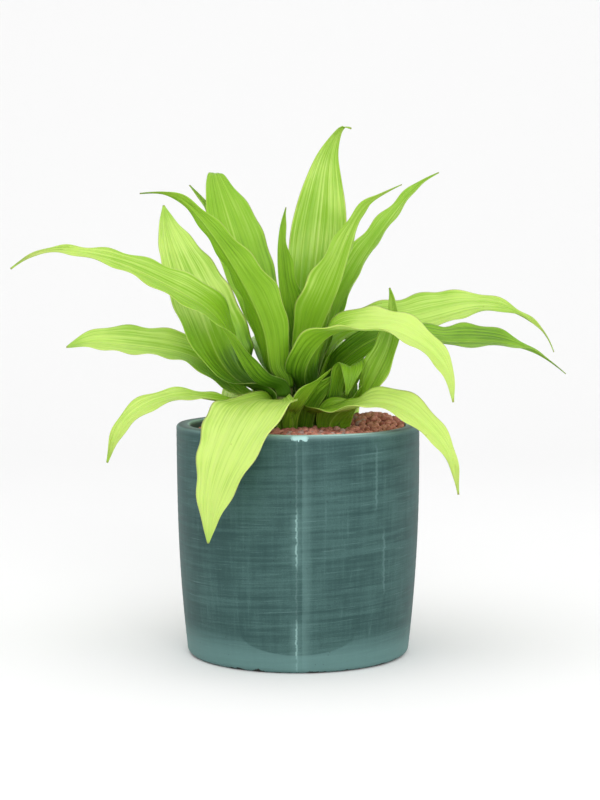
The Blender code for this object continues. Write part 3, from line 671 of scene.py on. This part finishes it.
def leaf_frame(leaf, s):
    """Midrib points, right-hand and face directions at the shares s, and the leaf's length."""
    angle = math.radians(leaf.heading)
    out = np.array([math.cos(angle), math.sin(angle), 0.0])
    cane = CANES[leaf.cane]
    base = np.array([cane[0], cane[1], GRANULE_LEVEL + leaf.up]) + out * (CANE_RADIUS + SEAT_OFFSET)
    lifted = base + out * LIFT_OUT + np.array([0.0, 0.0, LIFT_UP])
    curve, length = curve_through([base, lifted] + list(leaf.path))
    along = np.gradient(curve, axis=0)
    at = s * length[-1]
    middle = np.stack([np.interp(at, length, curve[:, k]) for k in range(3)], -1)
    ahead = np.stack([np.interp(at, length, along[:, k]) for k in range(3)], -1)
    ahead /= np.linalg.norm(ahead, axis=1)[:, None]
    facing = np.radians(leaf.heading + leaf.swing * smooth(s / SWING_SHARE))
    side = np.stack([np.sin(facing), -np.cos(facing), 0.0 * facing], -1)
    side -= ahead * np.sum(side * ahead, axis=1)[:, None]
    side /= np.linalg.norm(side, axis=1)[:, None]
    face = np.cross(side, ahead)
    mid_roll, tip_roll = leaf.roll
    early = smooth((s - ROLL_START) / (ROLL_MIDDLE - ROLL_START))
    late = smooth((s - ROLL_MIDDLE) / (1.0 - ROLL_MIDDLE))
    roll = np.radians(mid_roll * early + (tip_roll - mid_roll) * late)
    c, d = np.cos(roll)[:, None], np.sin(roll)[:, None]
    return middle, side * c - face * d, face * c + side * d, length[-1]


# %% Leaf blade
WAVE_HEIGHT = 1.3
WAVE_LENGTH = 29.0
EDGE_SHIFT = 1.9
PHASE_STEP = 1.7
PLEATS = 4.5              # folds on each side of the midrib
PLEAT_HEIGHT = 0.32
FINE_PLEATS = 11.0
FINE_PLEAT_HEIGHT = 0.07
GROOVE_DEPTH = 0.75
GROOVE_WIDTH = 1.5
BLADE_THICKNESS = 0.55
RIB_THICKNESS = 0.5
ROW_STEP = 2.2            # mm between rows along a leaf
HALF_RING = 32


def leaf_half_width(leaf, s):
    """Half the mean width: narrow sheath, widest at the peak, drawn out towards the tip."""
    rise = np.sin(np.pi / 2 * np.clip(s / leaf.peak, 0.0, 1.0)) ** 1.5
    past = np.clip((s - leaf.peak) / (1.0 - leaf.peak), 0.0, 1.0)
    shoulder, tail = leaf.taper
    base = BASE_HALF_WIDTH + (CLASP_HALF_WIDTH - BASE_HALF_WIDTH) * (1.0 - smooth(s / 0.3))
    width = base + (leaf.width / 2 - base) * rise
    return width * (1.0 - past ** shoulder) ** tail + TIP_HALF_WIDTH


def leaf_reach(leaf, s, v):
    """Distance from the midrib across the blade: half the width times v, more on one side."""
    uneven = 1.0 + leaf.lean * np.sign(v)[None, :] * smooth(s / SHEATH_SHARE)[:, None]
    return leaf_half_width(leaf, s)[:, None] * v[None, :] * uneven


def leaf_surface(leaf, phase, s, v):
    """Points of the blade for shares s along it and v from -1 to 1 across it.

    An arc across the midrib, lifted by the fold, the edge waves and the pleats and sunk at the
    groove."""
    middle, side, face, length = leaf_frame(leaf, s)
    opened = smooth(s / SHEATH_SHARE)
    bend = ((1.0 - opened) / SHEATH_RADIUS + opened / BLADE_RADIUS)[:, None]
    reach = leaf_reach(leaf, s, v)
    across = np.sin(bend * reach) / bend
    lift = (1.0 - np.cos(bend * reach)) / bend
    base_fold, tip_fold = leaf.fold
    fold = base_fold + (tip_fold - base_fold) * s ** 3
    fold = (np.radians(fold) * smooth(s / FOLD_SHARE))[:, None]
    lift = lift + np.abs(reach) * np.sin(fold)
    across = across * np.cos(fold)
    calm = (smooth((s - 0.1) / 0.25) * smooth((1.0 - s) / 0.2))[:, None]
    turn = 2.0 * np.pi * length * s[:, None] / WAVE_LENGTH + phase + np.where(v > 0, EDGE_SHIFT, 0.0)
    lift = lift + WAVE_HEIGHT * calm * np.abs(v) ** 3 * np.sin(turn)
    pleated = (smooth(s / 0.12) * smooth((1.0 - s) / 0.12))[:, None]
    drift = 0.35 * np.sin(5.0 * s[:, None] + phase)
    pleat = PLEAT_HEIGHT * np.sin(2.0 * np.pi * (PLEATS * np.abs(v) + drift) + phase)
    fine = FINE_PLEAT_HEIGHT * np.sin(2.0 * np.pi * FINE_PLEATS * np.abs(v) + 2.0 * phase)
    groove = GROOVE_DEPTH * np.exp(-(reach / GROOVE_WIDTH) ** 2)
    lift = lift + pleated * ((pleat + fine) * smooth(np.abs(v) / 0.2) - groove)
    return middle[:, None, :] + across[..., None] * side[:, None, :] + lift[..., None] * face[:, None, :]


def leaf_ring():
    """Places across the blade once round it: v, and +1 above, -1 below, 0 on the edges."""
    upper = np.linspace(-1.0, 1.0, HALF_RING + 1)
    lower = upper[::-1][1:-1]
    skin = np.concatenate([[0.0], np.ones(HALF_RING - 1), [0.0], -np.ones(HALF_RING - 1)])
    return np.concatenate([upper, lower]), skin


def leaf_skin(leaf, phase):
    """The closed skin of a leaf as a grid of rings, with its places along and across."""
    length = leaf_frame(leaf, np.array([0.0, 1.0]))[3]
    s = np.linspace(0.0, 1.0, max(24, int(length / ROW_STEP)))
    v, skin = leaf_ring()
    half = v[:HALF_RING + 1]
    sheet = leaf_surface(leaf, phase, s, half)
    normal = np.cross(np.gradient(sheet, axis=1), np.gradient(sheet, axis=0))
    normal /= np.linalg.norm(normal, axis=2, keepdims=True)
    around = np.concatenate([np.arange(HALF_RING + 1), np.arange(HALF_RING - 1, 0, -1)])
    reach = leaf_reach(leaf, s, v)
    rib = RIB_THICKNESS * np.exp(-(reach / 1.8) ** 2) * np.where(skin < 0, 1.0, 0.0)
    thick = BLADE_THICKNESS / 2.0 * np.sqrt(1.0 - 0.85 * np.abs(v) ** 6) + rib * (1.0 - s[:, None])
    grid = sheet[:, around] + normal[:, around] * (thick * skin)[..., None]
    return grid, s, v, skin


# %% [markdown]
# ### Leaf finish
# The blade is a fresh yellow-green, paler where it is young or lit through, with darker and
# lighter stripes that follow the veins to the tip. The colour also holds painted light and shade:
# each leaf's tone is deep where it lies in shade and pale where it is lit, and every leaf is
# darker towards its base as painted shade. A thin yellow line and a faint pinkish brown one run
# along the edge. The skin is waxy: satin above, duller below. Light comes through, which a little
# subsurface scattering gives. The stripes need to follow the blade, so the place along and across
# it is kept on its points.

# %% Leaf finish function
def leaf_finish(name, deep, green, pale):
    """A leaf material that runs from deep to green to pale with the leaf's own tone."""
    leaf = Finish(name)
    x, y, z, place = leaf.object_place()
    along = leaf.attribute("along")
    across = leaf.attribute("across")
    upper = leaf.attribute("upper")
    tone = leaf.attribute("tone")
    reach = leaf.math("ABSOLUTE", across)
    vein_place = leaf.add("CombineXYZ", {0: leaf.math("MULTIPLY", across, 22.0),
                                         1: leaf.math("MULTIPLY", along, 2.2), 2: tone})
    stripes = leaf.noise(vein_place, 1.0, 3.0, 0.6)
    fine_place = leaf.add("CombineXYZ", {0: leaf.math("MULTIPLY", across, 90.0),
                                         1: leaf.math("MULTIPLY", along, 9.0), 2: tone})
    veins = leaf.noise(fine_place, 1.0, 2.0, 0.5)
    clouds = leaf.noise(place, 26.0, 3.0, 0.5)

    shade = leaf.math("ADD", tone, leaf.ramp(clouds, 0.3, 0.7, -0.08, 0.08))
    shade = leaf.math("ADD", shade, leaf.ramp(stripes, 0.3, 0.7, -0.15, 0.15))
    # Painted shade: every leaf darker towards its base.
    shade = leaf.math("ADD", shade, leaf.ramp(along, 0.0, 0.22, -0.30, 0.0))
    shade = leaf.math("ADD", shade, leaf.ramp(along, 0.90, 1.0, 0.0, -0.15))
    colour = leaf.blend(leaf.ramp(shade, 0.0, 0.5), deep, green)
    colour = leaf.blend(leaf.ramp(shade, 0.5, 1.0), colour, pale)
    colour = leaf.blend(leaf.ramp(veins, 0.48, 0.78, 0.0, 0.16), colour, pale)
    rib = leaf.math("MULTIPLY", leaf.ramp(reach, 0.045, 0.0), leaf.ramp(along, 1.0, 0.6))
    colour = leaf.blend(leaf.math("MULTIPLY", rib, 0.35), colour, pale)
    colour = leaf.blend(leaf.ramp(reach, 0.94, 0.99, 0.0, 0.28), colour, (0.66, 0.76, 0.26, 1))
    edge_noise = leaf.noise(place, 240.0, 2.0, 0.5)
    brown = leaf.math("MULTIPLY", leaf.ramp(reach, 0.975, 1.0), leaf.ramp(edge_noise, 0.4, 0.6, 0.0, 0.34))
    colour = leaf.blend(brown, colour, (0.420, 0.240, 0.110, 1))
    tip = leaf.ramp(leaf.math("ADD", along, leaf.math("MULTIPLY", edge_noise, 0.02)), 0.995, 1.010, 0.0, 0.6)
    colour = leaf.blend(tip, colour, (0.260, 0.190, 0.060, 1))
    specks = leaf.add("TexVoronoi", {"Vector": place, "Scale": 60.0, "Randomness": 1.0})
    colour = leaf.blend(leaf.ramp(specks, 0.05, 0.03, 0.0, 0.35), colour, (0.200, 0.160, 0.030, 1))
    leaf.set(base_color=colour)
    leaf.set(roughness=leaf.ramp(upper, -1.0, 1.0, 0.52, 0.36), specular_ior_level=0.28)
    height = leaf.math("ADD", leaf.math("MULTIPLY", veins, 0.7), leaf.math("MULTIPLY", stripes, 0.6))
    leaf.set(normal=leaf.bump(height, 0.00022, 0.7))
    leaf.set(subsurface_weight=0.35, subsurface_radius=(0.7, 1.0, 0.25), subsurface_scale=0.0016)
    return leaf.material


# DEEP, GREEN and PALE also serve for the leaf in shade, half lit and lit: painted light and shade.
DEEP = (0.050, 0.150, 0.002, 1)
GREEN = (0.235, 0.445, 0.018, 1)
PALE = (0.540, 0.720, 0.165, 1)
leaf_materials = {
    "leaf_green": leaf_finish("leaf_green", DEEP, GREEN, PALE),
    "leaf_pale": leaf_finish("leaf_pale", DEEP, GREEN, PALE),
    "leaf_deep": leaf_finish("leaf_deep", DEEP, GREEN, PALE),
}
TONES_WITH_PAINTED_LIGHT = {
    # name: (tone near the base, tone near the tip), 0 deep, 0.5 green, 1 pale; the tones are the
    # leaf's own colour with painted light and shade in them, deep where a leaf is shaded, pale where lit
    "far_left": (0.22, 0.78), "left_broad": (0.05, 0.80), "left_over": (0.40, 0.46),
    "upper_left": (0.35, 0.50), "upper_left_back": (0.30, 0.50), "young": (0.12, 0.40),
    "crown": (0.42, 0.70), "crown_front": (0.42, 0.72), "upper_right": (0.35, 0.60),
    "right_upright": (0.48, 0.62), "front_right": (0.08, 0.98), "right_high": (0.50, 0.80),
    "right_long": (0.12, 0.30), "low_right": (0.50, 1.00), "front_drop": (0.78, 0.92),
    "low_left": (0.50, 0.85), "left_mid": (0.50, 0.82), "small_front": (0.20, 0.42),
    "small_fold": (0.22, 0.36), "back_left": (0.30, 0.60), "back": (0.30, 0.60),
    "back_right": (0.30, 0.60), "back_low_left": (0.40, 0.80), "back_low_right": (0.40, 0.80),
}

# %% Leaves
leaf_points = 0
for number, (leaf_name, row) in enumerate(LEAVES.items()):
    grid, s, v, skin = leaf_skin(row, PHASE_STEP * number)
    base_tone, tip_tone = TONES_WITH_PAINTED_LIGHT[leaf_name]
    tone = base_tone + (tip_tone - base_tone) * smooth((s - 0.12) / 0.45)
    facts = {"along": s[:, None], "across": v[None, :], "upper": skin[None, :], "tone": tone[:, None]}
    piece = closed_piece("blade_" + leaf_name, grid, leaf_materials[row.slot], facts)
    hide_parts("leaf_" + leaf_name)
    leaf_points += grid.shape[0] * grid.shape[1]
print("leaf points:", leaf_points)

# %% [markdown]
# ### Small leaves at the foot
# Round the foot of each cane stand short overlapping leaves, the oldest ones, that come up out
# of the granules and hide the cane. They are dark, deepest at their base, as painted shade under
# the larger leaves. They are made by the same function as the large leaves, from a table of their
# own, and start below the surface of the granules.

# %% Foot leaves
FOOT_LEAVES = {
    "foot_left": Leaf("left", -8, -118, 0, 22, 0, 0.5, (1.8, 0.8), (0, 0), (12, 6), "leaf_green", (
        (-15, -14, 175), (-16, -17, 190))),
    "foot_narrow": Leaf("left", -8, -80, 0, 13, 0, 0.5, (1.8, 1.0), (0, 0), (16, 8), "leaf_deep", (
        (-9, -14, 176), (-10, -15, 189))),
    "foot_front": Leaf("left", -8, -35, 0, 24, 0, 0.5, (1.8, 1.0), (0, 0), (14, 7), "leaf_green", (
        (0, -15, 179), (8, -20, 192), (17, -25, 205))),
    "foot_middle": Leaf("middle", -8, -68, 0, 28, 0, 0.5, (1.8, 1.0), (0, 0), (14, 7), "leaf_deep", (
        (13, -4, 180), (22, -10, 195), (34, -14, 209))),
    "foot_right": Leaf("right", -8, -115, 0, 26, 0, 0.5, (1.8, 1.0), (10, 20), (10, 5), "leaf_green", (
        (25, -15, 174), (33, -20, 182), (43, -23, 186))),
    "foot_far_right": Leaf("right", -8, -20, 0, 22, 0, 0.5, (1.8, 1.0), (0, 0), (12, 6), "leaf_green", (
        (38, -8, 178), (46, -12, 192), (53, -18, 206))),
    "foot_dark": Leaf("right", 10, -30, 0, 13, 0, 0.5, (1.8, 1.0), (0, 0), (20, 10), "leaf_deep", (
        (40, -9, 196), (46, -12, 208), (52, -14, 222))),
    "foot_back": Leaf("left", -8, 150, 0, 24, 0, 0.5, (1.8, 1.0), (0, 0), (12, 6), "leaf_green", (
        (-20, 3, 178), (-30, 8, 192), (-38, 11, 200))),
    "foot_back_middle": Leaf("middle", -8, 80, 0, 26, 0, 0.5, (1.8, 1.0), (0, 0), (12, 6), "leaf_green", (
        (7, 20, 178), (9, 27, 194), (10, 36, 204))),
    "foot_back_right": Leaf("right", -8, 60, 0, 22, 0, 0.5, (1.8, 1.0), (0, 0), (12, 6), "leaf_green", (
        (33, 5, 178), (38, 11, 190), (44, 17, 198))),
}
for number, (leaf_name, row) in enumerate(FOOT_LEAVES.items()):
    grid, s, v, skin = leaf_skin(row, PHASE_STEP * number)
    # Painted shade: dark near the base, lighter towards the tip, and foot_right lighter than the rest.
    tone = 0.10 + 0.30 * smooth(s) + (0.22 if leaf_name == "foot_right" else 0.0)
    facts = {"along": s[:, None], "across": v[None, :], "upper": skin[None, :], "tone": tone[:, None]}
    piece = closed_piece(leaf_name, grid, leaf_materials[row.slot], facts)
    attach(piece, "root")
print("small leaves:", len(FOOT_LEAVES))

# %% [markdown]
# ## Floor and light
# A pale sheet that curves up into a backdrop, as in a product studio, hides the horizon. A large
# soft box above, a broad one in front and a bright room all round leave only faint shadows.

# %% Floor
SHEET_WIDTH = 8000.0
sheet_line = np.concatenate([
    np.array([(-6000.0, 0.0), (-3000.0, 0.0), (1200.0, 0.0)]),
    arc((1200.0, 1500.0), 1500.0, -90, 0, 24)[1:],
    np.array([(2700.0, 3500.0)]),
])
sheet_x = np.array([-SHEET_WIDTH / 2.0, SHEET_WIDTH / 2.0])
sheet_grid = np.zeros((len(sheet_line), 2, 3))
sheet_grid[:, :, 0] = sheet_x
sheet_grid[:, :, 1] = sheet_line[:, :1]
sheet_grid[:, :, 2] = sheet_line[:, 1:]
paper = Finish("backdrop")
paper.set(base_color=(0.90, 0.90, 0.90, 1), roughness=0.9)
floor_mesh = bpy.data.meshes.new("backdrop")
i = np.arange(len(sheet_line) - 1)[:, None] * 2
floor_mesh.from_pydata(sheet_grid.reshape(-1, 3) * MM, [], (i + np.array([[0, 1, 3, 2]])).tolist())
floor_mesh.polygons.foreach_set("use_smooth", np.ones(len(floor_mesh.polygons), bool))
floor_mesh.materials.append(paper.material)
floor = bpy.data.objects.new("backdrop", floor_mesh)
bpy.context.scene.collection.objects.link(floor)


# %% Light
def softbox(name, place, aim, size, power):
    """A square area light at place, turned towards aim, both in metres."""
    data = bpy.data.lights.new(name, "AREA")
    data.shape = "SQUARE"
    data.size = size
    data.energy = power
    lamp = bpy.data.objects.new(name, data)
    lamp.location = place
    towards = np.array(aim, float) - np.array(place, float)
    flat = math.hypot(towards[0], towards[1])
    lamp.rotation_euler = (math.atan2(flat, -towards[2]), 0.0, math.atan2(towards[1], towards[0]) - math.pi / 2)
    bpy.context.scene.collection.objects.link(lamp)
    return lamp


softbox("softbox_top", (-0.3, -0.5, 2.2), (0.0, 0.0, 0.2), 1.8, 10.0)
softbox("softbox_front", (0.5, -2.6, 1.2), (0.0, 0.0, 0.15), 1.6, 26.0)
world = bpy.data.worlds.new("room")
world.use_nodes = True
world.node_tree.nodes["Background"].inputs["Color"].default_value = (1.0, 1.0, 1.0, 1.0)
world.node_tree.nodes["Background"].inputs["Strength"].default_value = 0.92
bpy.context.scene.world = world
